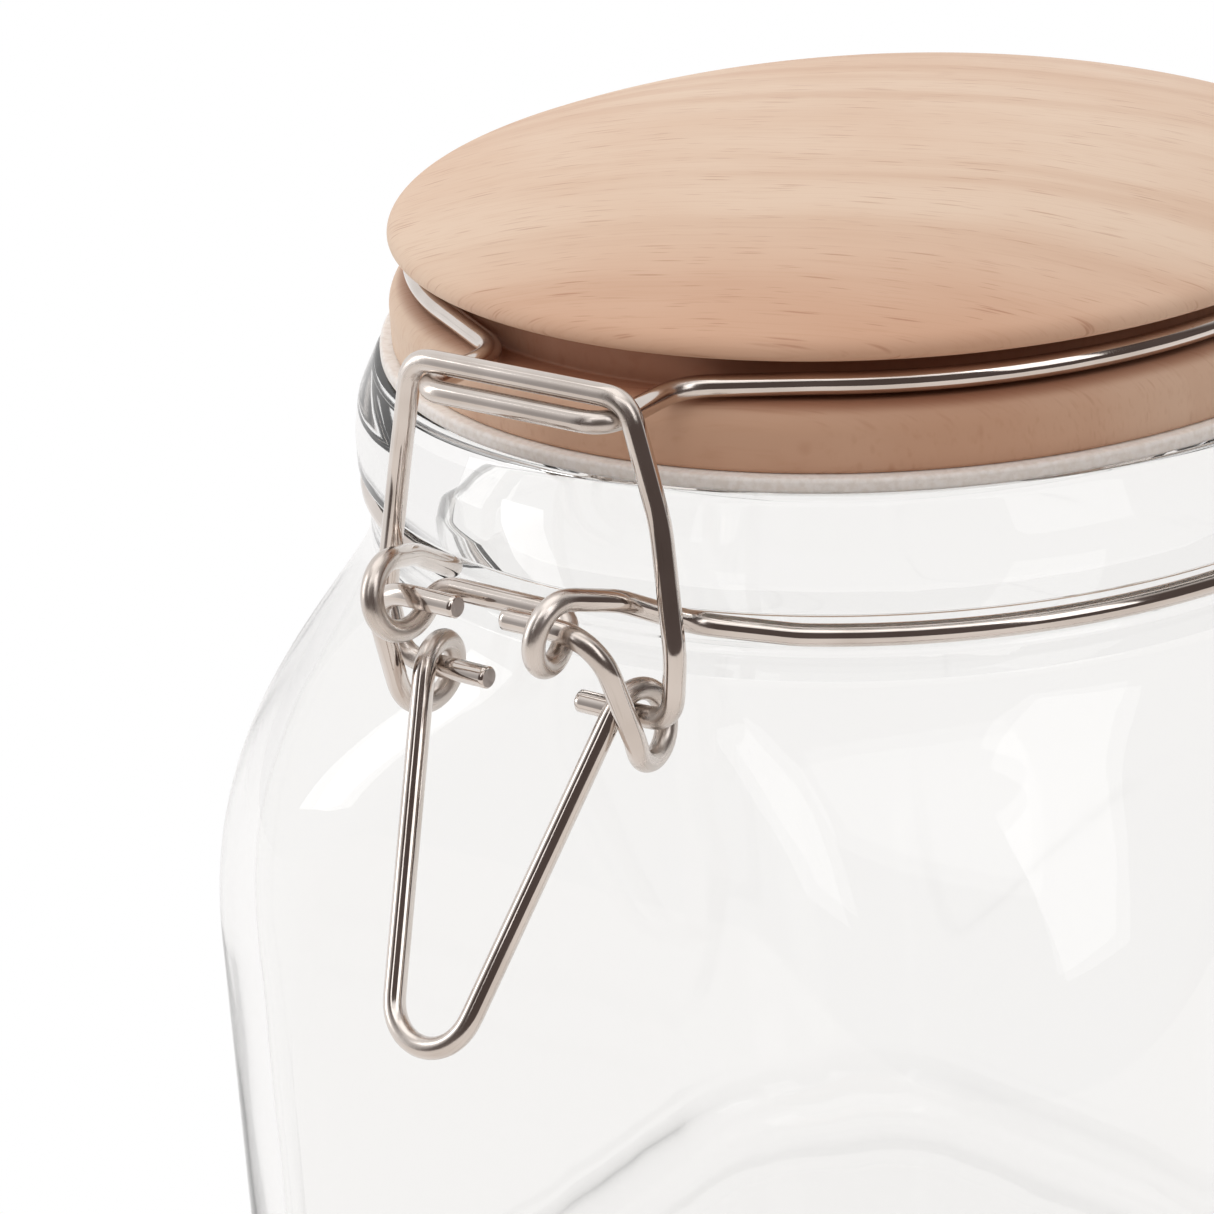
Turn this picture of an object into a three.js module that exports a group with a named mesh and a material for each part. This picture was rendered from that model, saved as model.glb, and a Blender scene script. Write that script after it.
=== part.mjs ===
// Lidded glass canister: a clip-top storage jar with a turned beech lid.
//
// Frame: millimetres, +Z up. The origin is the centre of the flat base that the jar stands on.
// The latch faces -Y and the lid hinge faces +Y. Inside this file a point is often given as
// (across, out, up): across is X, out is the distance from the jar's axis towards the latch
// or the hinge, and up is the height above the rim of the glass.

import * as THREE from 'three';

// Driving dimensions --------------------------------------------------------------------------

const RIM_HEIGHT = 144; // top of the glass
const BODY_HALF_WIDTH = 64; // flat face of the square body
const BODY_CORNER_RADIUS = 28.5;
const WALL = 4;
const FLOOR_THICKNESS = 8;
const BASE_ROUNDING = 9;
const NECK_RADIUS = 57.6;
const BEAD_RADIUS = 58.5;
const GROOVE_RADIUS = 55.7; // under the bead, for the neck band
const MOUTH_RADIUS = 47.6;
const SHOULDER_TOP = -18.7; // above the rim, so it is below it
const SHOULDER_BOTTOM = -66;

const GASKET_RADIUS = 55;
const GASKET_BORE = 47;
const GASKET_GAP = 0.2;
const GASKET_THICKNESS = 1.6;

const PLUG_RADIUS = 46.6;
const PLUG_DEPTH = 2;
const FLANGE_RADIUS = 53.6;
const FLANGE_TOP = 8.7;
const LID_GROOVE_RADIUS = 49;
const DISC_RADIUS = 53.2;
const DISC_UNDERSIDE = 12.8;
const DISC_WIDEST = 14;
const DISC_UNDERCUT = 4; // width of the rounding under the disc's edge
const DISC_SHOULDER = { width: 4, height: 2.05, meetsDome: 0.94 }; // rounding above its edge
const DOME_TOP = 23;
const DOME_FULLNESS = 2.6; // a larger power gives a flatter top and a rounder rim

const WIRE_RADIUS = 1.18;
const EYE_RADIUS = 3.6; // centreline of every eye bent in the wire

const RING_RADIUS = 57.2; // neck band, in the groove under the bead
const RING_UP = -13.9;
const BAIL_RADIUS = 50.6; // lid bail, in the groove of the lid
const BAIL_UP = 10.4;

const LEVER_PIVOT = { out: 70.6, up: -9.6 }; // axis of the lever's pins
const LID_PIVOT = { out: 67, up: -7 }; // axis of the bail's pins
const LINK_PIVOT = { out: 63.3, up: -20.6 }; // axis of the link's pins

const ROUND_SEGMENTS = 48;
const WIRE_SIDES = 8;
const BEND_STEP = Math.PI / 9; // widest turn between two sections of a bent wire
const RING_STEP = Math.PI / 30;

// Materials ------------------------------------------------------------------------------------

const glass = new THREE.MeshStandardMaterial({
  color: 0xeef2f1, roughness: 0.05, metalness: 0, transparent: true, opacity: 0.35,
});
const beech = new THREE.MeshStandardMaterial({ color: 0xd9b08c, roughness: 0.6, metalness: 0 });
const silicone = new THREE.MeshStandardMaterial({ color: 0xd8d2c8, roughness: 0.5, metalness: 0 });
const steel = new THREE.MeshStandardMaterial({ color: 0xb8b2aa, roughness: 0.25, metalness: 1 });

// Round and rounded-square solids --------------------------------------------------------------

/** A solid of revolution about Z. Each level is { radius, z }. */
function turned(levels) {
  const profile = levels.map(({ radius, z }) => new THREE.Vector2(radius, z));
  return new THREE.LatheGeometry(profile, ROUND_SEGMENTS).rotateX(Math.PI / 2);
}

/** Distance from the axis to a rounded square, in the direction of an angle. */
function roundedSquareReach(halfWidth, cornerRadius, angle) {
  const turn = Math.abs(angle) % (Math.PI / 2);
  const fold = Math.min(turn, Math.PI / 2 - turn);
  const centre = halfWidth - cornerRadius;
  if (halfWidth * Math.tan(fold) <= centre) return halfWidth / Math.cos(fold);
  const along = centre * (Math.cos(fold) + Math.sin(fold));
  const aside = centre * (Math.cos(fold) - Math.sin(fold));
  return along + Math.sqrt(cornerRadius ** 2 - aside ** 2);
}

/** A turned solid whose levels are rounded squares: { radius, z, corner }. */
function turnedSquare(levels) {
  const geometry = turned(levels);
  const position = geometry.attributes.position;
  for (let i = 0; i < position.count; i += 1) {
    const { radius, corner } = levels[i % levels.length];
    const angle = Math.atan2(position.getY(i), position.getX(i));
    const scale = radius > 0 ? roundedSquareReach(radius, corner, angle) / radius : 1;
    position.setX(i, position.getX(i) * scale);
    position.setY(i, position.getY(i) * scale);
  }
  return geometry;
}

/** Points of a quarter ellipse that leaves `from` along Z and reaches `to` along the radius. */
function quarterRound(from, to, steps) {
  const points = [];
  for (let i = 1; i <= steps; i += 1) {
    const angle = (i / steps) * (Math.PI / 2);
    points.push({
      radius: to.radius + (from.radius - to.radius) * Math.cos(angle),
      z: from.z + (to.z - from.z) * Math.sin(angle),
    });
  }
  return points;
}

// Glass jar ------------------------------------------------------------------------------------

/** Levels of the shoulder, from the neck down, with the wall's inset taken off. */
function shoulderLevels(inset) {
  const sweep = new THREE.CubicBezierCurve(
    new THREE.Vector2(0, 0), new THREE.Vector2(0, 0.22),
    new THREE.Vector2(1, 0.35), new THREE.Vector2(1, 1),
  );
  return sweep.getPoints(9).map(({ x: spread, y: fall }) => ({
    radius: THREE.MathUtils.lerp(NECK_RADIUS, BODY_HALF_WIDTH, spread) - inset,
    corner: THREE.MathUtils.lerp(NECK_RADIUS, BODY_CORNER_RADIUS, spread) - inset,
    z: RIM_HEIGHT + THREE.MathUtils.lerp(SHOULDER_TOP, SHOULDER_BOTTOM, fall) - inset * 0.3,
  }));
}

/** Levels of the rounded edge between the wall and a floor, from the wall down. */
function heelLevels(floorZ, inset) {
  const rounding = BASE_ROUNDING - inset * 0.5;
  const wall = { radius: BODY_HALF_WIDTH - inset, z: floorZ + rounding };
  const floor = { radius: wall.radius - rounding, z: floorZ };
  return [wall, ...quarterRound(wall, floor, 4)].map((level) => ({
    ...level,
    corner: BODY_CORNER_RADIUS - inset - (wall.radius - level.radius) * 0.6,
  }));
}

function glassJar() {
  const round = (radius, up) => ({ radius, z: RIM_HEIGHT + up, corner: radius });
  const outside = [
    round(54.6, 0), round(56.3, -1.6), round(57.7, -4.6), round(BEAD_RADIUS, -8.2),
    round(BEAD_RADIUS, -10.6), round(BEAD_RADIUS - 0.6, -11.4), round(GROOVE_RADIUS, -11.7),
    round(GROOVE_RADIUS, -15.3), round(57.2, -15.6), ...shoulderLevels(0), ...heelLevels(0, 0),
  ];
  const inside = [
    round(MOUTH_RADIUS + 1, 0), round(MOUTH_RADIUS, -1), round(MOUTH_RADIUS, -15),
    ...shoulderLevels(WALL), ...heelLevels(FLOOR_THICKNESS, WALL),
  ];
  const centre = (z) => ({ radius: 0, z, corner: 0 });
  return turnedSquare([centre(0), ...outside.reverse(), ...inside, centre(FLOOR_THICKNESS)]);
}

// Lid and gasket -------------------------------------------------------------------------------

const FLANGE_UNDERSIDE = GASKET_GAP + GASKET_THICKNESS;

function woodenLid() {
  const flangeEdge = { radius: FLANGE_RADIUS, z: FLANGE_TOP - 3.4 };
  const flangeShelf = { radius: FLANGE_RADIUS - 2.8, z: FLANGE_TOP };
  const discEdge = { radius: DISC_RADIUS, z: DISC_WIDEST };
  const underside = { radius: DISC_RADIUS - DISC_UNDERCUT, z: DISC_UNDERSIDE };
  const levels = [
    { radius: 0, z: -PLUG_DEPTH },
    { radius: PLUG_RADIUS - 1, z: -PLUG_DEPTH },
    { radius: PLUG_RADIUS, z: -PLUG_DEPTH + 1 },
    { radius: PLUG_RADIUS, z: FLANGE_UNDERSIDE },
    { radius: FLANGE_RADIUS - 0.5, z: FLANGE_UNDERSIDE },
    { radius: FLANGE_RADIUS, z: FLANGE_UNDERSIDE + 0.5 },
    flangeEdge,
    ...quarterRound(flangeEdge, flangeShelf, 3),
    { radius: LID_GROOVE_RADIUS, z: FLANGE_TOP },
    { radius: LID_GROOVE_RADIUS, z: DISC_UNDERSIDE },
    ...quarterRound(discEdge, underside, 3).reverse(),
    ...discTop(),
  ];
  return turned(levels.map(({ radius, z }) => ({ radius, z: z + RIM_HEIGHT })));
}

/** Levels of the disc from its widest line, over the rounded shoulder, to the top of the dome. */
function discTop() {
  const { width, height, meetsDome } = DISC_SHOULDER;
  const shoulderSteps = 4;
  const domeSteps = 8;
  const levels = [];
  for (let i = 0; i <= shoulderSteps; i += 1) {
    const angle = (meetsDome * i) / shoulderSteps;
    levels.push({
      radius: DISC_RADIUS - width * (1 - Math.cos(angle)),
      z: DISC_WIDEST + height * Math.sin(angle),
    });
  }
  const edge = levels[shoulderSteps];
  for (let i = 1; i <= domeSteps; i += 1) {
    const part = 1 - i / domeSteps;
    const z = THREE.MathUtils.lerp(DOME_TOP, edge.z, part ** DOME_FULLNESS);
    levels.push({ radius: edge.radius * part, z });
  }
  return levels;
}

function gasket() {
  const bottom = RIM_HEIGHT + GASKET_GAP;
  const top = bottom + GASKET_THICKNESS;
  return turned([
    { radius: GASKET_BORE, z: bottom },
    { radius: GASKET_RADIUS, z: bottom },
    { radius: GASKET_RADIUS, z: top },
    { radius: GASKET_BORE, z: top },
    { radius: GASKET_BORE, z: bottom },
  ]);
}

// Bent wire ------------------------------------------------------------------------------------

const front = (across, out, up) => new THREE.Vector3(across, -out, RIM_HEIGHT + up);
const rear = (across, out, up) => new THREE.Vector3(across, out, RIM_HEIGHT + up);
const point = (at) => ({ at, bend: 0 });
const corner = (at, bend) => ({ at, bend });

/** A path that passes through the given samples, one sample for each step. */
class SampledPath extends THREE.Curve {
  constructor(samples) {
    super();
    this.samples = samples;
  }

  getPoint(t, target = new THREE.Vector3()) {
    const place = THREE.MathUtils.clamp(t, 0, 1) * (this.samples.length - 1);
    const index = Math.min(Math.floor(place), this.samples.length - 2);
    return target.lerpVectors(this.samples[index], this.samples[index + 1], place - index);
  }

  getUtoTmapping(u) {
    return u;
  }
}

/** Samples of the arc of radius `bend` that rounds the corner at `at`. */
function roundedCorner(before, at, after, bend) {
  const back = before.clone().sub(at).normalize();
  const ahead = after.clone().sub(at).normalize();
  const halfAngle = back.angleTo(ahead) / 2;
  const tangentLength = bend / Math.tan(halfAngle);
  const middle = back.clone().add(ahead).normalize();
  const centre = at.clone().addScaledVector(middle, bend / Math.sin(halfAngle));
  const start = at.clone().addScaledVector(back, tangentLength).sub(centre);
  const axis = new THREE.Vector3().crossVectors(back, ahead).normalize().negate();
  const turn = Math.PI - 2 * halfAngle;
  const steps = Math.max(1, Math.ceil(turn / BEND_STEP));
  const samples = [];
  for (let i = 0; i <= steps; i += 1) {
    samples.push(start.clone().applyAxisAngle(axis, (turn * i) / steps).add(centre));
  }
  return samples;
}

/** Round wire that follows a list of points and rounded corners. */
function bentWire(path) {
  const samples = path.flatMap(({ at, bend }, i) => (
    bend > 0 ? roundedCorner(path[i - 1].at, at, path[i + 1].at, bend) : [at]
  ));
  const section = new THREE.Shape().absarc(0, 0, WIRE_RADIUS, 0, 2 * Math.PI);
  return new THREE.ExtrudeGeometry(section, {
    steps: samples.length - 1,
    curveSegments: WIRE_SIDES / 2, // an arc is divided twice as finely as this says
    extrudePath: new SampledPath(samples),
  });
}

/** The other half of a path that is symmetric about X = 0, in reverse order. */
function mirrored(half) {
  return half.map(({ at, bend }) => ({ at: new THREE.Vector3(-at.x, at.y, at.z), bend })).reverse();
}

/** A turn of wire about an X axis; angles are from `out` towards `up`, and it moves across. */
function turnOfWire(place, { out, up }, startAngle, endAngle, startAcross, endAcross) {
  const steps = Math.ceil(Math.abs(endAngle - startAngle) / BEND_STEP);
  const samples = [];
  for (let i = 0; i <= steps; i += 1) {
    const angle = THREE.MathUtils.lerp(startAngle, endAngle, i / steps);
    const across = THREE.MathUtils.lerp(startAcross, endAcross, i / steps);
    const at = place(across, out + EYE_RADIUS * Math.cos(angle), up + EYE_RADIUS * Math.sin(angle));
    samples.push(point(at));
  }
  return samples;
}

/** Samples of a level ring about Z; angles are from the middle of the side named by `place`. */
function ringArc(place, radius, up, startAngle, endAngle) {
  const steps = Math.ceil(Math.abs(endAngle - startAngle) / RING_STEP);
  const samples = [];
  for (let i = 0; i <= steps; i += 1) {
    const angle = THREE.MathUtils.lerp(startAngle, endAngle, i / steps);
    samples.push(point(place(radius * Math.sin(angle), radius * Math.cos(angle), up)));
  }
  return samples;
}

/** Angle at which a straight run from a point touches a ring about Z. */
function tangentAngle({ across, out }, radius) {
  return Math.atan2(across, out) + Math.acos(radius / Math.hypot(across, out));
}

// Neck band ------------------------------------------------------------------------------------

// Each bracket leaves the ring at its foot, turns up at its knee, and goes round its eye.
const FRONT_BRACKET = {
  foot: { across: 15.6, out: 56, up: -12.9 },
  eye: { out: 71.6, up: -9.4 },
};
const REAR_BRACKET = {
  foot: { across: 15.6, out: 58.5, up: -13.2 },
  eye: LID_PIVOT,
};
const BRACKET_KNEE = { across: 13.3, back: 6.6, up: 1.7 }; // from the eye's centre
const BRACKET_BAR = { halfWidth: 8.8, back: 4.8, up: -0.2 }; // straight wire between the eyes
const BRACKET_EYE = { start: Math.PI / 2 + 0.25, end: 0.8 - Math.PI, outer: 11.4, inner: 8.9 };
const BUTT_GAP = 0.5; // between the wire's two ends, behind the jar

/** Half of a bracket: from the ring, round the eye, and along the bar to `endAcross`. */
function bracketHalf(place, { foot, eye }, endAcross) {
  const { start, end, outer, inner } = BRACKET_EYE;
  const knee = place(BRACKET_KNEE.across, eye.out - BRACKET_KNEE.back, eye.up + BRACKET_KNEE.up);
  const bar = (across) => place(across, eye.out - BRACKET_BAR.back, eye.up + BRACKET_BAR.up);
  return [
    corner(place(foot.across, foot.out, foot.up), 4),
    corner(knee, 5),
    ...turnOfWire(place, eye, start, end, outer, inner),
    corner(bar(BRACKET_BAR.halfWidth), 2.2),
    point(bar(endAcross)),
  ];
}

function neckBand() {
  const leavesFront = tangentAngle(FRONT_BRACKET.foot, RING_RADIUS);
  const meetsRear = Math.PI - tangentAngle(REAR_BRACKET.foot, RING_RADIUS);
  const half = [
    ...bracketHalf(front, FRONT_BRACKET, 0).reverse(),
    ...ringArc(front, RING_RADIUS, RING_UP, leavesFront, meetsRear),
    ...bracketHalf(rear, REAR_BRACKET, BUTT_GAP / 2),
  ];
  return bentWire([...mirrored(half), ...half.slice(1)]);
}

// Lid bail -------------------------------------------------------------------------------------

const CATCH_BAR = { out: 63.7, up: 10, halfWidth: 11.9 };
const CATCH_ARM = { across: 11.6, out: 51.2, up: 10.1 }; // where the catch loop joins the ring
const HINGE_ARM = { across: 19.6, out: 52.5 }; // where a leg to the hinge leaves the ring
const HINGE_LEG = { across: 18.6, top: 7.6, pinTip: 6.2 };

function lidBail() {
  const leavesFront = tangentAngle(CATCH_ARM, BAIL_RADIUS);
  const meetsRear = Math.PI - tangentAngle(HINGE_ARM, BAIL_RADIUS);
  const half = [
    point(front(0, CATCH_BAR.out, CATCH_BAR.up)),
    corner(front(CATCH_BAR.halfWidth, CATCH_BAR.out, CATCH_BAR.up), 2.4),
    corner(front(CATCH_ARM.across, CATCH_ARM.out, CATCH_ARM.up), 5),
    ...ringArc(front, BAIL_RADIUS, BAIL_UP, leavesFront, meetsRear),
    corner(rear(HINGE_ARM.across, HINGE_ARM.out, BAIL_UP), 5),
    corner(rear(HINGE_LEG.across, LID_PIVOT.out, HINGE_LEG.top), 8),
    corner(rear(HINGE_LEG.across, LID_PIVOT.out, LID_PIVOT.up), 3),
    point(rear(HINGE_LEG.pinTip, LID_PIVOT.out, LID_PIVOT.up)),
  ];
  return bentWire([...mirrored(half), ...half.slice(1)]);
}

// Latch ----------------------------------------------------------------------------------------

const LEVER_PIN = { tip: 3.2, corner: 14.5, bend: 5 };
const LEVER_EYE = { out: 63, up: -21.65, start: -0.18, armStrand: 15.5, handleStrand: 12.2 };
const HANDLE_TIP = { out: 85, up: -51.8, bend: 5.1, armLean: 0.249 };

/** Slope of the handle, from straight down: it runs from the eye's edge to the tip. */
function handleSlope() {
  const out = HANDLE_TIP.out - LEVER_EYE.out;
  const up = HANDLE_TIP.up - LEVER_EYE.up;
  return Math.atan2(up, out) + Math.acos(EYE_RADIUS / Math.hypot(out, up));
}

function latchLever() {
  const { start, armStrand, handleStrand } = LEVER_EYE;
  const slope = handleSlope();
  const half = [
    point(front(LEVER_PIN.tip, LEVER_PIVOT.out, LEVER_PIVOT.up)),
    corner(front(LEVER_PIN.corner, LEVER_PIVOT.out, LEVER_PIVOT.up), LEVER_PIN.bend),
    ...turnOfWire(front, LEVER_EYE, start, slope - 2 * Math.PI, armStrand, handleStrand),
    ...handleTip(slope),
  ];
  return bentWire([...half, ...mirrored(half).slice(1)]);
}

/** The rounded tip of the V handle, from the side to the middle. */
function handleTip(slope) {
  const { out, up, bend, armLean } = HANDLE_TIP;
  const samples = [];
  const steps = 4;
  for (let i = 0; i <= steps; i += 1) {
    const angle = THREE.MathUtils.lerp(armLean, Math.PI / 2, i / steps);
    const back = bend * (1 - Math.sin(angle));
    const across = bend * Math.cos(angle);
    samples.push(point(front(across, out - back * Math.sin(slope), up + back * Math.cos(slope))));
  }
  return samples;
}

// Corners of the link's side from the top bar down, each { across, out, up, bend }.
const LINK_SIDE = [
  { across: 13.7, out: 62.35, up: 12.6, bend: 2.7 },
  { across: 16.8, out: 62.2, up: 0, bend: 20 },
  { across: 18.7, out: 63.6, up: -13.2, bend: 7 },
];
const LINK_PIN = { tip: 6.1, corner: 17.6 };

function latchLink() {
  const [top] = LINK_SIDE;
  const half = [
    point(front(0, top.out, top.up)),
    ...LINK_SIDE.map(({ across, out, up, bend }) => corner(front(across, out, up), bend)),
    corner(front(LINK_PIN.corner, LINK_PIVOT.out, LINK_PIVOT.up), 3),
    point(front(LINK_PIN.tip, LINK_PIVOT.out, LINK_PIVOT.up)),
  ];
  return bentWire([...mirrored(half), ...half.slice(1)]);
}

// Assembly -------------------------------------------------------------------------------------

const parts = [
  ['glass_jar', glassJar(), glass],
  ['neck_band', neckBand(), steel],
  ['wooden_lid', woodenLid(), beech],
  ['gasket', gasket(), silicone],
  ['lid_bail', lidBail(), steel],
  ['latch_lever', latchLever(), steel],
  ['latch_link', latchLink(), steel],
];

const canister = new THREE.Group();
for (const [name, geometry, material] of parts) {
  const mesh = new THREE.Mesh(geometry, material);
  mesh.name = name;
  canister.add(mesh);
}

export default canister;
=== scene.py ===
"""Looks for the lidded glass canister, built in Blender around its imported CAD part.

Shapes are in millimetres until a mesh is made; the studio is in metres. A point on a wire is
given as (across, out, up): across is X, out is the distance from the jar's axis towards the latch
(-Y) or the lid hinge (+Y), and up is the height above the rim of the glass.
"""

import math

import bpy
import numpy as np
from mathutils import Matrix, Quaternion, Vector

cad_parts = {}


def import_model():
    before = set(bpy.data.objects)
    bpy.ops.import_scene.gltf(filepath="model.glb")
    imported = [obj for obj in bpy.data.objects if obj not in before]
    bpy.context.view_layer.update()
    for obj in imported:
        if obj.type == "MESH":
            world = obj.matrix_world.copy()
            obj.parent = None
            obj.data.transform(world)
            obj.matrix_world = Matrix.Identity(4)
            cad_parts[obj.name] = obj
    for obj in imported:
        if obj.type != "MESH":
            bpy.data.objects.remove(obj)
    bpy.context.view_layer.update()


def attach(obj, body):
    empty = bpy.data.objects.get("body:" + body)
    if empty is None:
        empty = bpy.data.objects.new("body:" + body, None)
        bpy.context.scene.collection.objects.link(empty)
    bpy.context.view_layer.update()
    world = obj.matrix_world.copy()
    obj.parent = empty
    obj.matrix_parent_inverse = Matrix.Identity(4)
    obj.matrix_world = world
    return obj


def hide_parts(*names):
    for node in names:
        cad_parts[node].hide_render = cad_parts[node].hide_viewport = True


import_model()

MM = 0.001
RIM_HEIGHT = 144.0

# Jar ------------------------------------------------------------------------------------------
BODY_HALF_WIDTH = 64.0
BODY_CORNER_RADIUS = 28.5
WALL = 4.0
FLOOR_THICKNESS = 8.0
BASE_ROUNDING = 9.0
NECK_RADIUS = 57.6
BEAD_RADIUS = 58.5
GROOVE_RADIUS = 55.7
MOUTH_RADIUS = 47.6
SHOULDER_TOP = -18.7
SHOULDER_BOTTOM = -66.0
JAR_SEGMENTS = 320

# Lid and gasket -------------------------------------------------------------------------------
GASKET_RADIUS = 55.0
GASKET_BORE = 47.0
GASKET_GAP = 0.2
GASKET_THICKNESS = 1.6
PLUG_RADIUS = 46.6
PLUG_DEPTH = 2.0
FLANGE_RADIUS = 53.6
FLANGE_TOP = 8.7
LID_GROOVE_RADIUS = 49.0
DISC_RADIUS = 53.2
DISC_UNDERSIDE = 12.8
DISC_WIDEST = 14.0
DISC_UNDERCUT = 4.0  # width of the rounding under the disc's edge
SHOULDER_WIDTH = 4.0  # of the rounding above it
SHOULDER_HEIGHT = 2.05
SHOULDER_MEETS_DOME = 0.94
DOME_TOP = 23.0
DOME_FULLNESS = 2.6  # a larger power gives a flatter top and a rounder rim
LID_SEGMENTS = 256

# Wires ----------------------------------------------------------------------------------------
WIRE_RADIUS = 1.18
WIRE_SIDES = 24
WIRE_SPACING = 0.42  # between two sections of a wire's mesh
WIRE_SOFTENING = 6  # passes that ease the wire into its bends
EYE_RADIUS = 3.6
RING_RADIUS = 57.2
RING_UP = -13.9
BAIL_RADIUS = 50.6
BAIL_UP = 10.4
LEVER_PIVOT = (70.6, -9.6)
LID_PIVOT = (67.0, -7.0)
LINK_PIVOT = (63.3, -20.6)

# Neck band: each bracket leaves the ring at its foot and turns up at its knee
FRONT_FOOT = (15.6, 56.0, -12.9)
FRONT_EYE = (71.6, -9.4)
REAR_FOOT = (15.6, 58.5, -13.2)
KNEE = (13.3, -6.6, 1.7)  # from the eye's centre
BRACKET_BAR = (8.8, -4.8, -0.2)
BRACKET_EYE_ANGLES = (math.pi / 2 + 0.25, 0.8 - math.pi)
BRACKET_EYE_STRANDS = (11.4, 8.9)
BUTT_GAP = 0.5

# Lid bail
CATCH_BAR = (11.9, 63.7, 10.0)
CATCH_ARM = (11.6, 51.2, 10.1)
HINGE_ARM = (19.6, 52.5)
HINGE_LEG_ACROSS = 18.6
HINGE_LEG_TOP = 7.6
HINGE_PIN_TIP = 6.2

# Latch: a pin is given by how far across its tip and its bend are
LEVER_PIN = (3.2, 14.5)
LEVER_EYE = (63.0, -21.65)
LEVER_EYE_START = -0.18
LEVER_EYE_STRANDS = (15.5, 12.2)
HANDLE_TIP = (85.0, -51.8)
HANDLE_BEND = 5.1
ARM_LEAN = 0.249
LINK_SIDE = (((13.7, 62.35, 12.6), 2.7), ((16.8, 62.2, 0.0), 20), ((18.7, 63.6, -13.2), 7))
LINK_PIN = (6.1, 17.6)

BEND_STEP = math.pi / 40  # between two points of a bend


# Small helpers --------------------------------------------------------------------------------

def lerp(start, end, part):
    return start + (end - start) * part


def srgb(red, green, blue):
    """A linear colour from 0-255 display values."""
    shares = [value / 255 for value in (red, green, blue)]
    linear = [s / 12.92 if s <= 0.04045 else ((s + 0.055) / 1.055) ** 2.4 for s in shares]
    return (*linear, 1.0)


def new_piece(name, vertices, faces, body, node_name, materials):
    """A mesh from points in millimetres, riding on a CAD body in place of one CAD node."""
    mesh = bpy.data.meshes.new(name)
    mesh.from_pydata([tuple(MM * c for c in v) for v in vertices], [], faces)
    mesh.polygons.foreach_set("use_smooth", [True] * len(mesh.polygons))
    for material in materials:
        mesh.materials.append(material)
    piece = bpy.data.objects.new(name, mesh)
    bpy.context.scene.collection.objects.link(piece)
    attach(piece, body)
    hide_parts(node_name)
    return piece


def rounded_corner(before, at, after, bend):
    """Points of the arc of radius `bend` that rounds a corner."""
    back = (before - at).normalized()
    ahead = (after - at).normalized()
    half_angle = back.angle(ahead) / 2
    centre = at + (back + ahead).normalized() * (bend / math.sin(half_angle))
    start = at + back * (bend / math.tan(half_angle)) - centre
    axis = ahead.cross(back).normalized()
    turn = math.pi - 2 * half_angle
    steps = max(3, math.ceil(turn / BEND_STEP))
    return [Quaternion(axis, turn * i / steps) @ start + centre for i in range(steps + 1)]


def rounded(path):
    """The points of a path of (point, bend radius) pairs."""
    points = []
    for i, (at, bend) in enumerate(path):
        if bend > 0:
            points += rounded_corner(path[i - 1][0], at, path[i + 1][0], bend)
        else:
            points.append(at)
    return points


# Turned shapes --------------------------------------------------------------------------------

def profile(*corners):
    """Rounded profile of a turned shape from (radius, up, bend) corners."""
    path = [(Vector((radius, 0, RIM_HEIGHT + up)), bend) for radius, up, bend in corners]
    return [(p.x, p.z, p.x) for p in rounded(path)]


def square_reach(half_width, corner_radius, angle):
    """Distance from the axis to a rounded square, in the direction of an angle."""
    turn = abs(angle) % (math.pi / 2)
    fold = min(turn, math.pi / 2 - turn)
    centre = half_width - corner_radius
    if half_width * math.tan(fold) <= centre:
        return half_width / math.cos(fold)
    along = centre * (math.cos(fold) + math.sin(fold))
    aside = centre * (math.cos(fold) - math.sin(fold))
    return along + math.sqrt(corner_radius ** 2 - aside ** 2)


def turned(levels, segments):
    """Vertices and faces of a closed shape whose levels are (radius, z, corner radius).

    A level of radius 0 is a single point on the axis. Without one at each end, the profile is a
    closed loop.
    """
    vertices = []
    rows = []
    for radius, z, corner in levels:
        if radius == 0:
            rows.append([len(vertices)] * segments)
            vertices.append((0, 0, z))
            continue
        rows.append(range(len(vertices), len(vertices) + segments))
        for i in range(segments):
            angle = 2 * math.pi * i / segments
            reach = square_reach(radius, corner, angle) if corner < radius else radius
            vertices.append((reach * math.cos(angle), reach * math.sin(angle), z))
    pairs = list(zip(rows, rows[1:]))
    if levels[0][0] > 0:
        pairs.append((rows[-1], rows[0]))
    faces = []
    for lower, upper in pairs:
        for i in range(segments):
            j = (i + 1) % segments
            corners = (lower[i], lower[j], upper[j], upper[i])
            faces.append(tuple(dict.fromkeys(corners)))
    return vertices, faces


def shoulder(inset, steps=56):
    """Levels from the round neck down to the square body, with the wall's inset taken off."""
    levels = []
    for i in range(steps + 1):
        t = i / steps
        spread = 3 * (1 - t) * t ** 2 + t ** 3
        fall = 0.66 * (1 - t) ** 2 * t + 1.05 * (1 - t) * t ** 2 + t ** 3
        levels.append((
            lerp(NECK_RADIUS, BODY_HALF_WIDTH, spread) - inset,
            RIM_HEIGHT + lerp(SHOULDER_TOP, SHOULDER_BOTTOM, fall) - inset * 0.3,
            lerp(NECK_RADIUS, BODY_CORNER_RADIUS, spread) - inset,
        ))
    return levels


def heel(floor_z, inset, steps=16):
    """Levels of the rounded edge between the wall and a floor, from the wall down."""
    rounding = BASE_ROUNDING - inset * 0.5
    wall = BODY_HALF_WIDTH - inset
    levels = []
    for i in range(steps + 1):
        angle = math.pi / 2 * i / steps
        drawn_in = rounding * (1 - math.cos(angle))
        levels.append((
            wall - drawn_in,
            floor_z + rounding * (1 - math.sin(angle)),
            BODY_CORNER_RADIUS - inset - drawn_in * 0.6,
        ))
    return levels


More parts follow.
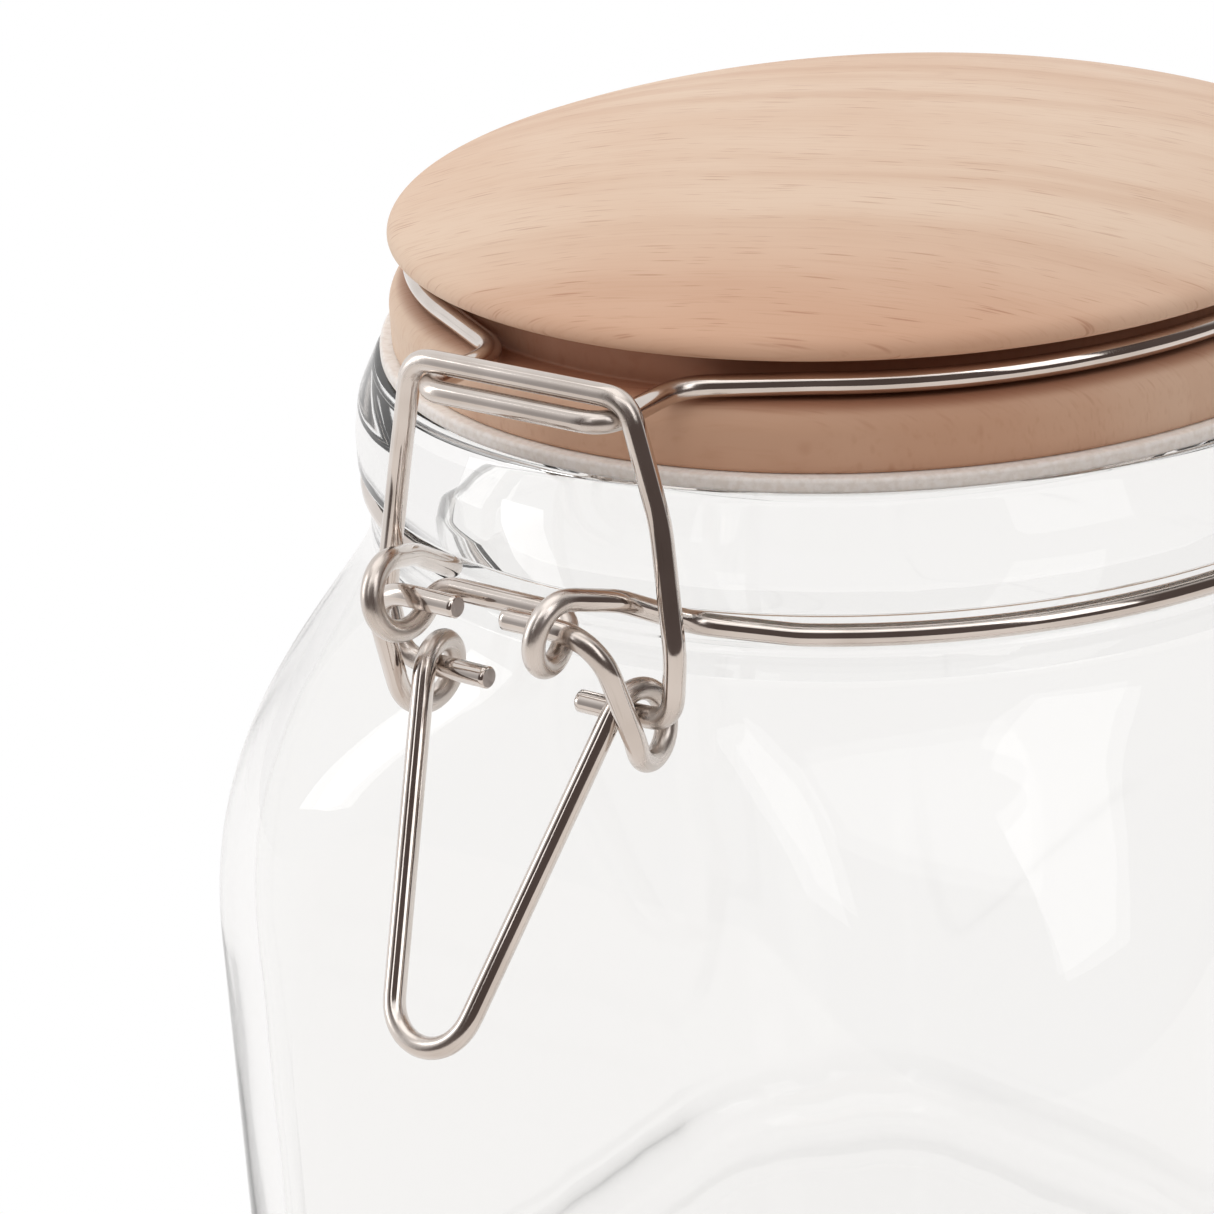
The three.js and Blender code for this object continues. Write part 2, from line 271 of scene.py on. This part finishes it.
def glass_jar():
    outside = profile(
        (52.6, 0, 0), (55.6, 0, 1.6), (57.9, -4.6, 6), (BEAD_RADIUS, -8.2, 8),
        (BEAD_RADIUS, -11.6, 0.6), (GROOVE_RADIUS, -11.7, 0.7), (GROOVE_RADIUS, -15.4, 0.7),
        (57.4, -15.6, 0.8), (NECK_RADIUS, SHOULDER_TOP, 0),
    )
    inside = profile(
        (50.6, 0, 0), (MOUTH_RADIUS, 0, 1.2), (MOUTH_RADIUS, -15, 0),
    )
    inner_wall = [*shoulder(WALL), *heel(FLOOR_THICKNESS, WALL)]
    outer_wall = [*shoulder(0)[1:], *heel(0, 0)]
    levels = [
        (0, 0, 0), *reversed([*outside, *outer_wall]), *inside, *inner_wall,
        (0, FLOOR_THICKNESS, 0),
    ]
    vertices, faces = turned(levels, JAR_SEGMENTS)
    return new_piece("glass_jar_clear", vertices, faces, "jar", "glass_jar",
                     [clear_glass()])


def disc_top():
    """Levels of the disc from under its edge, over the rounded shoulder, to the top."""
    steps = 12
    points = []
    for i in range(1, steps + 1):
        angle = math.pi / 2 * i / steps
        points.append((DISC_RADIUS - DISC_UNDERCUT * (1 - math.sin(angle)),
                       lerp(DISC_WIDEST, DISC_UNDERSIDE, math.cos(angle))))
    for i in range(1, steps + 1):
        angle = SHOULDER_MEETS_DOME * i / steps
        points.append((DISC_RADIUS - SHOULDER_WIDTH * (1 - math.cos(angle)),
                       DISC_WIDEST + SHOULDER_HEIGHT * math.sin(angle)))
    edge_radius, edge_up = points[-1]
    dome_steps = 36
    for i in range(1, dome_steps + 1):
        part = 1 - i / dome_steps
        points.append((edge_radius * part, lerp(DOME_TOP, edge_up, part ** DOME_FULLNESS)))
    return [(radius, RIM_HEIGHT + up, radius) for radius, up in points]


def wooden_lid():
    underside = GASKET_GAP + GASKET_THICKNESS
    lower = profile(
        (0, -PLUG_DEPTH, 0), (PLUG_RADIUS, -PLUG_DEPTH, 0.8), (PLUG_RADIUS, underside, 0.3),
        (FLANGE_RADIUS, underside, 0.5), (FLANGE_RADIUS, FLANGE_TOP, 2.9),
        (LID_GROOVE_RADIUS, FLANGE_TOP, 0.3), (LID_GROOVE_RADIUS, DISC_UNDERSIDE, 0.1),
        (DISC_RADIUS - DISC_UNDERCUT, DISC_UNDERSIDE, 0),
    )
    vertices, faces = turned([*lower, *disc_top()], LID_SEGMENTS)
    return new_piece("wooden_lid_turned", vertices, faces, "lid", "wooden_lid", [beech()])


def gasket():
    bottom = GASKET_GAP
    top = bottom + GASKET_THICKNESS
    middle = (GASKET_BORE + GASKET_RADIUS) / 2
    levels = profile(
        (middle, bottom, 0), (GASKET_RADIUS, bottom, 0.45), (GASKET_RADIUS, top, 0.45),
        (GASKET_BORE, top, 0.3), (GASKET_BORE, bottom, 0.3), (middle, bottom, 0),
    )[:-1]
    vertices, faces = turned(levels, LID_SEGMENTS)
    return new_piece("gasket_ring", vertices, faces, "lid", "gasket", [silicone()])


# Wires ----------------------------------------------------------------------------------------

def front(across, out, up):
    return Vector((across, -out, RIM_HEIGHT + up))


def rear(across, out, up):
    return Vector((across, out, RIM_HEIGHT + up))


def mirrored(half):
    """The other half of a path that is symmetric about X = 0, in reverse order."""
    return [(Vector((-at.x, at.y, at.z)), bend) for at, bend in reversed(half)]


def turn_of_wire(place, centre, start_angle, end_angle, start_across, end_across):
    """A turn of wire about an X axis, whose angles run from `out` towards `up`.

    `place` is `front` or `rear`.
    """
    out, up = centre
    steps = math.ceil(abs(end_angle - start_angle) / BEND_STEP)
    path = []
    for i in range(steps + 1):
        angle = lerp(start_angle, end_angle, i / steps)
        across = lerp(start_across, end_across, i / steps)
        at = place(across, out + EYE_RADIUS * math.cos(angle), up + EYE_RADIUS * math.sin(angle))
        path.append((at, 0))
    return path


def ring_arc(radius, up, start_angle, end_angle):
    """A level arc about Z; angles run from the middle of the front towards the rear."""
    steps = math.ceil(abs(end_angle - start_angle) / (BEND_STEP / 4))
    path = []
    for i in range(steps + 1):
        angle = lerp(start_angle, end_angle, i / steps)
        path.append((front(radius * math.sin(angle), radius * math.cos(angle), up), 0))
    return path


def tangent_angle(across, out, radius):
    """Angle at which a straight run from a point touches a ring about Z."""
    return math.atan2(across, out) + math.acos(radius / math.hypot(across, out))


def centreline(path):
    """Evenly spaced points of a wire's path, eased into its bends."""
    corners = np.array([tuple(p) for p in rounded(path)])
    steps = np.linalg.norm(np.diff(corners, axis=0), axis=1)
    travelled = np.concatenate([[0], np.cumsum(steps)])
    length = travelled[-1]
    wanted = np.linspace(0, length, round(length / WIRE_SPACING) + 1)
    line = np.column_stack([np.interp(wanted, travelled, corners[:, k]) for k in range(3)])
    for _ in range(WIRE_SOFTENING):
        line[1:-1] = (line[:-2] + 2 * line[1:-1] + line[2:]) / 4
    return line


def wire_sections(line):
    """Centre, direction, share of the radius, and bend of each section, with bevelled ends."""
    along = np.gradient(line, axis=0)
    along /= np.linalg.norm(along, axis=1)[:, None]
    bend = np.linalg.norm(np.gradient(along, axis=0), axis=1) / WIRE_SPACING * WIRE_RADIUS
    for _ in range(8):
        bend[1:-1] = (bend[:-2] + bend[1:-1] + bend[2:]) / 3
    bevel = 0.14 * WIRE_RADIUS
    end_share = 0.87
    first = (line[0] - bevel * along[0], along[0], end_share, 0.0)
    last = (line[-1] + bevel * along[-1], along[-1], end_share, 0.0)
    return [first, *((line[i], along[i], 1.0, bend[i]) for i in range(len(line))), last]


def wire_surface(sections):
    """Vertices of a wire; the direction they start from never twists round the wire."""
    side = np.array(Vector(sections[0][1]).orthogonal())
    vertices = []
    for centre, direction, share, _ in sections:
        side = side - direction * (side @ direction)
        side /= np.linalg.norm(side)
        other = np.cross(direction, side)
        for k in range(WIRE_SIDES):
            angle = 2 * math.pi * k / WIRE_SIDES
            offset = side * math.cos(angle) + other * math.sin(angle)
            vertices.append(centre + offset * WIRE_RADIUS * share)
    return vertices


def wire_piece(name, path, body, node_name):
    """A round wire with cut ends. UV runs round the wire (0 to 1) and along it (in metres)."""
    sections = wire_sections(centreline(path))
    vertices = wire_surface(sections)
    first_centre, last_centre = len(vertices), len(vertices) + 1
    vertices += [sections[0][0], sections[-1][0]]
    faces = []
    uvs = []
    for i in range(len(sections) - 1):
        start, end = i * WIRE_SPACING * MM, (i + 1) * WIRE_SPACING * MM
        for k in range(WIRE_SIDES):
            a, b = i * WIRE_SIDES + k, i * WIRE_SIDES + (k + 1) % WIRE_SIDES
            faces.append((a, b, b + WIRE_SIDES, a + WIRE_SIDES))
            left, right = k / WIRE_SIDES, (k + 1) / WIRE_SIDES
            uvs += [(left, start), (right, start), (right, end), (left, end)]
    sides = len(faces)
    last = (len(sections) - 1) * WIRE_SIDES
    for k in range(WIRE_SIDES):
        j = (k + 1) % WIRE_SIDES
        faces.append((j, k, first_centre))
        faces.append((last + k, last + j, last_centre))
        uvs += [(0, 0)] * 6
    piece = new_piece(name, vertices, faces, body, node_name, [STEEL, CUT_STEEL])
    mesh = piece.data
    for polygon in mesh.polygons[sides:]:
        polygon.material_index = 1
        polygon.use_smooth = False
    mesh.uv_layers.new(name="UVMap").data.foreach_set("uv", [c for uv in uvs for c in uv])
    bends = [section[3] for section in sections for _ in range(WIRE_SIDES)] + [0.0, 0.0]
    mesh.attributes.new("bend", "FLOAT", "POINT").data.foreach_set("value", bends)
    return piece


def bracket_half(place, foot, eye, end_across):
    """Half of a bracket: from the ring, round the eye, and along the bar between the eyes."""
    def from_eye(across, out, up):
        return place(across, eye[0] + out, eye[1] + up)

    _, back, drop = BRACKET_BAR
    return [
        (place(*foot), 4),
        (from_eye(*KNEE), 5),
        *turn_of_wire(place, eye, *BRACKET_EYE_ANGLES, *BRACKET_EYE_STRANDS),
        (from_eye(*BRACKET_BAR), 2.2),
        (from_eye(end_across, back, drop), 0),
    ]


def neck_band():
    leaves_front = tangent_angle(*FRONT_FOOT[:2], RING_RADIUS)
    meets_rear = math.pi - tangent_angle(*REAR_FOOT[:2], RING_RADIUS)
    half = [
        *reversed(bracket_half(front, FRONT_FOOT, FRONT_EYE, 0)),
        *ring_arc(RING_RADIUS, RING_UP, leaves_front, meets_rear),
        *bracket_half(rear, REAR_FOOT, LID_PIVOT, BUTT_GAP / 2),
    ]
    return wire_piece("neck_band_wire", mirrored(half) + half[1:], "jar", "neck_band")


def lid_bail():
    leaves_front = tangent_angle(*CATCH_ARM[:2], BAIL_RADIUS)
    meets_rear = math.pi - tangent_angle(*HINGE_ARM, BAIL_RADIUS)
    half = [
        (front(0, *CATCH_BAR[1:]), 0),
        (front(*CATCH_BAR), 2.4),
        (front(*CATCH_ARM), 5),
        *ring_arc(BAIL_RADIUS, BAIL_UP, leaves_front, meets_rear),
        (rear(*HINGE_ARM, BAIL_UP), 5),
        (rear(HINGE_LEG_ACROSS, LID_PIVOT[0], HINGE_LEG_TOP), 8),
        (rear(HINGE_LEG_ACROSS, *LID_PIVOT), 3),
        (rear(HINGE_PIN_TIP, *LID_PIVOT), 0),
    ]
    return wire_piece("lid_bail_wire", mirrored(half) + half[1:], "lid", "lid_bail")


def handle_tip(slope):
    """The rounded tip of the V handle, from the side to the middle."""
    out, up = HANDLE_TIP
    steps = 14
    path = []
    for i in range(steps + 1):
        angle = lerp(ARM_LEAN, math.pi / 2, i / steps)
        back = HANDLE_BEND * (1 - math.sin(angle))
        at = front(HANDLE_BEND * math.cos(angle), out - back * math.sin(slope),
                   up + back * math.cos(slope))
        path.append((at, 0))
    return path


def latch_lever():
    out, up = (tip - eye for tip, eye in zip(HANDLE_TIP, LEVER_EYE))
    slope = math.atan2(up, out) + math.acos(EYE_RADIUS / math.hypot(out, up))
    half = [
        (front(LEVER_PIN[0], *LEVER_PIVOT), 0),
        (front(LEVER_PIN[1], *LEVER_PIVOT), 5),
        *turn_of_wire(front, LEVER_EYE, LEVER_EYE_START, slope - 2 * math.pi, *LEVER_EYE_STRANDS),
        *handle_tip(slope),
    ]
    return wire_piece("latch_lever_wire", half + mirrored(half)[1:], "lever", "latch_lever")


def latch_link():
    top = LINK_SIDE[0][0]
    half = [
        (front(0, *top[1:]), 0),
        *((front(*corner), bend) for corner, bend in LINK_SIDE),
        (front(LINK_PIN[1], *LINK_PIVOT), 3),
        (front(LINK_PIN[0], *LINK_PIVOT), 0),
    ]
    return wire_piece("latch_link_wire", mirrored(half) + half[1:], "link", "latch_link")


# Materials ------------------------------------------------------------------------------------

PALE_BEECH = srgb(230, 204, 181)
WARM_BEECH = srgb(224, 193, 168)
LATE_WOOD = srgb(212, 175, 148)
FIBRE = srgb(208, 170, 144)
RAY = srgb(172, 112, 82)
FRONT_SHADE_TINT = (0.88, 0.72, 0.64, 1)  # painted shade on the side towards the latch, which faces the camera
GROOVE_SHADE_TINT = (0.62, 0.46, 0.4, 1)  # painted shade in the groove under the disc
CLEAR_SILICONE = srgb(247, 241, 236)
MILKY_SILICONE = srgb(236, 228, 221)
BRIGHT_WIRE = srgb(222, 214, 208)
DULL_WIRE = srgb(207, 198, 191)
SCORED_WIRE = srgb(150, 138, 130)
SHEARED_DARK = srgb(176, 166, 162)
SHEARED_LIGHT = srgb(206, 196, 190)


class Nodes:
    """A node tree and the node at its end, whose inputs are driven."""

    def __init__(self, tree, end):
        self.tree = tree
        self.end = tree.nodes[end]

    def add(self, kind, inputs=None, **settings):
        made = self.tree.nodes.new("ShaderNode" + kind)
        for name, value in settings.items():
            setattr(made, name, value)
        for socket, value in (inputs or {}).items():
            self.set(made.inputs[socket], value)
        return made

    def set(self, socket, value):
        if isinstance(value, bpy.types.NodeSocket):
            self.tree.links.new(value, socket)
        else:
            socket.default_value = value

    def drive(self, socket, value):
        self.set(self.end.inputs[socket], value)

    def math(self, operation, a, b=0.0):
        return self.add("Math", {0: a, 1: b}, operation=operation).outputs[0]

    def vector(self, operation, a, b):
        return self.add("VectorMath", {0: a, 1: b}, operation=operation).outputs[0]

    def ramp(self, value, low, high, start=0.0, end=1.0, smooth=True):
        """A value moved from the range low-high to start-end, and held at its ends."""
        kind = "SMOOTHSTEP" if smooth else "LINEAR"
        ranges = {"Value": value, "From Min": low, "From Max": high, "To Min": start, "To Max": end}
        return self.add("MapRange", ranges, interpolation_type=kind).outputs[0]

    def mix(self, share, a, b, blend="MIX"):
        inputs = {0: share, 6: a, 7: b}
        return self.add("Mix", inputs, data_type="RGBA", blend_type=blend).outputs[2]

    def coordinates(self, source="Object"):
        return self.add("TexCoord").outputs[source]

    def noise(self, place, scale=1.0, detail=2.0, roughness=0.5, output="Fac"):
        inputs = {"Vector": place, "Scale": scale, "Detail": detail, "Roughness": roughness}
        return self.add("TexNoise", inputs).outputs[output]

    def noise_of(self, x, y, z, detail=2.0):
        """Noise whose features are about x, y and z millimetres long."""
        return self.noise(self.vector("MULTIPLY", self.coordinates(), per_mm(x, y, z)), detail=detail)

    def bump(self, height, distance, strength=1.0, normal=None):
        inputs = {"Height": height, "Distance": distance, "Strength": strength}
        if normal is not None:
            inputs["Normal"] = normal
        return self.add("Bump", inputs).outputs[0]

    def along(self, vector, direction, low, high):
        """How far a vector reaches along a direction, moved from the range low-high to 0-1."""
        towards = tuple(Vector(direction).normalized())
        dot = self.add("VectorMath", {0: vector, 1: towards}, operation="DOT_PRODUCT")
        return self.ramp(dot.outputs["Value"], low, high)

    def above(self, low, high):
        """0 below a height of `low` millimetres over the rim, and 1 above `high`."""
        return self.along(self.coordinates(), (0, 0, 1), (RIM_HEIGHT + low) * MM,
                          (RIM_HEIGHT + high) * MM)


def new_material(name, **shader_inputs):
    """A material and the nodes that lead to its Principled shader."""
    material = bpy.data.materials.new(name)
    material.use_nodes = True
    nodes = Nodes(material.node_tree, "Principled BSDF")
    for socket, value in shader_inputs.items():
        nodes.drive(socket.replace("_", " "), value)
    return material, nodes


def per_mm(x, y, z):
    """Scales that make one texture unit of the given numbers of millimetres."""
    return (1 / (x * MM), 1 / (y * MM), 1 / (z * MM))


def clear_glass():
    """Pressed glass: clear, with the slow waves and small ripples that a mould leaves.

    Its specular tint keeps the images of the softboxes in it faint.
    """
    material, nodes = new_material("clear_glass", Roughness=0.0, IOR=1.5, Transmission_Weight=1.0,
                                   Specular_Tint=(0.4, 0.4, 0.4, 1))
    nodes.drive("Base Color", (0.966, 0.966, 0.962, 1))
    waves = nodes.bump(nodes.noise_of(34, 34, 60, detail=1.0), 1.2 * MM, 0.35)
    ripples = nodes.noise_of(9, 9, 26, detail=1.0)
    nodes.drive("Normal", nodes.bump(ripples, 0.12 * MM, 0.3, waves))
    return material


def beech():
    """Flat-sawn beech. Its rays are short thin lines along the grain, plainest on the disc."""
    material, nodes = new_material("beech", Specular_IOR_Level=0.35)
    wander = nodes.noise(nodes.vector("MULTIPLY", nodes.coordinates(), per_mm(26, 26, 26)),
                         detail=1.0, output="Color")
    shift = nodes.vector("MULTIPLY", wander, (2.2 * MM,) * 3)
    shifted = nodes.vector("ADD", nodes.coordinates(), shift)

    def grained(degrees, x, y, z):
        """Coordinates turned to the grain, in units of x along it, y across it, and z up."""
        turned_to = nodes.add("VectorRotate", {"Vector": shifted, "Angle": math.radians(degrees)},
                              rotation_type="Z_AXIS").outputs[0]
        return nodes.vector("MULTIPLY", turned_to, per_mm(x, y, z))

    def rays(length, width, depth, size, share):
        """Lens-shaped rays, one in each kept cell, with a strength of their own."""
        place = grained(-19, length, width, depth)
        cells = nodes.add("TexVoronoi", {"Vector": place, "Scale": 1.0})
        near = nodes.ramp(cells.outputs["Distance"], size * 0.3, size, 1.0, 0.0)
        chance = nodes.add("SeparateColor", {0: cells.outputs["Color"]}).outputs[0]
        strength = nodes.math("MULTIPLY", nodes.ramp(chance, 1 - share, 1.0), on_disc)
        return nodes.math("MULTIPLY", near, strength)

    above_groove = nodes.above(DISC_UNDERSIDE, DISC_UNDERSIDE + 0.6)
    on_disc = nodes.ramp(above_groove, 0.0, 1.0, 0.4, 1.0)
    clouds = nodes.noise_of(45, 30, 40)
    bands = nodes.noise(grained(-21, 120, 5.5, 60), detail=2.0)
    fibres = nodes.noise(grained(-20, 16, 0.3, 1.2), detail=2.0)
    pale = nodes.mix(nodes.ramp(clouds, 0.35, 0.65), PALE_BEECH, WARM_BEECH)
    banded = nodes.mix(nodes.ramp(bands, 0.42, 0.72, 0.0, 0.55), pale, LATE_WOOD)
    lined = nodes.mix(nodes.ramp(fibres, 0.5, 0.8, 0.0, 0.3), banded, FIBRE)
    long_rays = rays(9, 0.55, 4, 0.32, 0.7)
    short_rays = rays(5, 0.35, 2.5, 0.32, 0.7)
    rayed = nodes.mix(nodes.math("MULTIPLY", long_rays, 0.5), lined, RAY)
    rayed = nodes.mix(nodes.math("MULTIPLY", short_rays, 0.35), rayed, RAY)
    # Painted shade: the wood darkens towards the latch and camera side, as if it were lit less there.
    front_shade = nodes.along(nodes.coordinates(), (0.45, -0.89, 0), 26 * MM, 52 * MM)
    front_shaded = nodes.mix(front_shade, rayed, FRONT_SHADE_TINT, "MULTIPLY")
    # Painted shade: the groove under the disc's edge is darkened.
    groove_shade = nodes.math("SUBTRACT", nodes.above(FLANGE_TOP - 1, FLANGE_TOP), above_groove)
    nodes.drive("Base Color", nodes.mix(groove_shade, front_shaded, GROOVE_SHADE_TINT, "MULTIPLY"))
    nodes.drive("Roughness", nodes.ramp(fibres, 0.3, 0.7, 0.52, 0.66, smooth=False))
    relief = nodes.math("SUBTRACT", nodes.math("MULTIPLY", fibres, 0.5), long_rays)
    nodes.drive("Normal", nodes.bump(relief, 0.04 * MM, 0.5))
    return material


def silicone():
    material, nodes = new_material("silicone", IOR=1.41, Subsurface_Weight=0.35)
    nodes.drive("Subsurface Scale", 2 * MM)
    nodes.drive("Subsurface Radius", (1.0, 0.9, 0.8))
    speckle = nodes.noise_of(0.7, 0.7, 0.7, detail=3.0)
    milky = nodes.ramp(speckle, 0.35, 0.7)
    nodes.drive("Base Color", nodes.mix(milky, CLEAR_SILICONE, MILKY_SILICONE))
    nodes.drive("Roughness", nodes.ramp(speckle, 0.3, 0.7, 0.36, 0.5))
    nodes.drive("Normal", nodes.bump(speckle, 0.03 * MM, 0.4))
    return material


def drawn_steel():
    """Bright drawn wire with fine lines along it, and satin where it was bent."""
    material, nodes = new_material("drawn_steel", Metallic=1.0)
    lines_at = nodes.vector("MULTIPLY", nodes.coordinates("UV"), (26, 90, 1))
    lines = nodes.noise(lines_at, detail=3.0, roughness=0.6)
    tint = nodes.noise_of(9, 9, 9)
    bent = nodes.ramp(nodes.add("Attribute", attribute_name="bend").outputs["Fac"], 0.08, 0.32)
    colour = nodes.mix(nodes.ramp(tint, 0.3, 0.7), BRIGHT_WIRE, DULL_WIRE)
    scored = nodes.mix(nodes.ramp(lines, 0.56, 0.8, 0, 0.3), colour, SCORED_WIRE)
    nodes.drive("Base Color", scored)
    polish = nodes.ramp(lines, 0.3, 0.7, 0.06, 0.13)
    nodes.drive("Roughness", nodes.math("ADD", polish, nodes.math("MULTIPLY", bent, 0.2)))
    drawn = nodes.bump(lines, 0.008 * MM, 0.5)
    peel = nodes.math("MULTIPLY", nodes.noise_of(0.35, 0.35, 0.35, detail=3.0), bent)
    nodes.drive("Normal", nodes.bump(peel, 0.02 * MM, 0.6, drawn))
    return material


def cut_steel():
    """The sheared end of a wire."""
    material, nodes = new_material("cut_steel", Metallic=1.0)
    tears = nodes.noise_of(0.3, 0.3, 0.9, detail=4.0)
    nodes.drive("Base Color", nodes.mix(tears, SHEARED_DARK, SHEARED_LIGHT))
    nodes.drive("Roughness", nodes.ramp(tears, 0.3, 0.7, 0.45, 0.62))
    nodes.drive("Normal", nodes.bump(tears, 0.06 * MM, 0.7))
    return material


# Studio ---------------------------------------------------------------------------------------

CAMERA_LENS = 134.1
CAMERA_PLACE = (0.2737, -0.3871, 0.3023)
CAMERA_TURN = 0.683036
CAMERA_PITCH = 0.382334
CAMERA_ROLL = -0.067502
BEHIND_JAR = (-0.577, 0.816, 0)  # level direction away from the camera
BRIGHT_SIDE = (-0.73, 0.68, 0)  # level direction towards the white half of the room
WHITE = (0.93, 0.92, 0.915, 1)
DARK_ROOM = (0.10, 0.078, 0.072, 1)
CEILING = (0.8, 0.78, 0.76, 1)
BEIGE_TABLE = (0.84, 0.79, 0.75, 1)
BACKDROP = (1, 1, 1, 1)
TABLE_RADIUS = 0.6
TABLE_SEGMENTS = 96


def camera():
    data = bpy.data.cameras.new("camera")
    data.lens = CAMERA_LENS
    data.sensor_width = 36
    data.clip_start = 0.01
    made = bpy.data.objects.new("camera", data)
    bpy.context.scene.collection.objects.link(made)
    turn = Matrix.Rotation(CAMERA_TURN, 4, "Z")
    pitch = Matrix.Rotation(math.pi / 2 - CAMERA_PITCH, 4, "X")
    roll = Matrix.Rotation(CAMERA_ROLL, 4, "Z")
    made.matrix_world = Matrix.Translation(CAMERA_PLACE) @ turn @ pitch @ roll
    bpy.context.scene.camera = made


def world():
    """A room that is white behind the jar and overhead, and dark in front of it.

    The backdrop is white on every side, and so is what the glass shows of it.
    """
    made = bpy.data.worlds.new("studio")
    bpy.context.scene.world = made
    made.use_nodes = True
    nodes = Nodes(made.node_tree, "Background")
    way = nodes.coordinates("Generated")
    walls = nodes.mix(nodes.along(way, BRIGHT_SIDE, -0.3, 0.15), DARK_ROOM, WHITE)
    room = nodes.mix(nodes.along(way, (0, 0, 1), 0.7, 0.9), walls, CEILING)
    path = nodes.add("LightPath").outputs
    through_glass = nodes.mix(path["Is Transmission Ray"], room, WHITE)
    nodes.drive("Color", nodes.mix(path["Is Camera Ray"], through_glass, BACKDROP))


def softbox(name, place, target, width, height, power):
    """A rectangular lamp at a place, turned to a target; sizes in metres and power in watts."""
    data = bpy.data.lights.new(name, "AREA")
    data.shape = "RECTANGLE"
    data.size = width
    data.size_y = height
    data.energy = power
    made = bpy.data.objects.new(name, data)
    bpy.context.scene.collection.objects.link(made)
    aim = (Vector(target) - Vector(place)).to_track_quat("-Z", "Y")
    made.location = place
    made.rotation_euler = aim.to_euler()


def studio_floor():
    """A round glowing table, white behind the jar and beige in front.

    The camera doesn't see it; the glass and the wires do.
    """
    mesh = bpy.data.meshes.new("studio_floor")
    angles = [2 * math.pi * i / TABLE_SEGMENTS for i in range(TABLE_SEGMENTS)]
    rim = [(TABLE_RADIUS * math.cos(a), TABLE_RADIUS * math.sin(a), -0.1 * MM) for a in angles]
    mesh.from_pydata(rim, [], [tuple(range(TABLE_SEGMENTS))])
    material, nodes = new_material("studio_floor", Roughness=0.9, Specular_IOR_Level=0.1)
    place = nodes.coordinates()
    glowing = nodes.mix(nodes.along(place, BEHIND_JAR, -0.12, 0.02), BEIGE_TABLE, WHITE)
    nodes.drive("Base Color", (0.05, 0.05, 0.05, 1))
    nodes.drive("Emission Color", glowing)
    nodes.drive("Emission Strength", 1.0)
    mesh.materials.append(material)
    floor = bpy.data.objects.new("studio_floor", mesh)
    floor.visible_camera = False
    bpy.context.scene.collection.objects.link(floor)


# Scene ----------------------------------------------------------------------------------------

STEEL = drawn_steel()
CUT_STEEL = cut_steel()

glass_jar()
neck_band()
wooden_lid()
gasket()
lid_bail()
latch_lever()
latch_link()

camera()
world()
studio_floor()
softbox("overhead_softbox", (-0.2, 0.1, 1.5), (0, 0, 0.12), 1.2, 1.2, 3.4)
softbox("camera_softbox", (0.42, -0.6, 1.15), (0, 0, 0.12), 1.0, 0.5, 1.5)
softbox("right_softbox", (1.0, -0.25, 0.85), (0, 0, 0.12), 0.5, 0.8, 2.4)
softbox("front_strip", (-0.033, -0.95, 0.85), (0, 0, 0.12), 0.18, 0.8, 0.8)
softbox("left_softbox", (-0.95, -0.6, 0.5), (0, 0, 0.1), 0.3, 0.9, 2)
bpy.context.scene.view_settings.view_transform = "Standard"
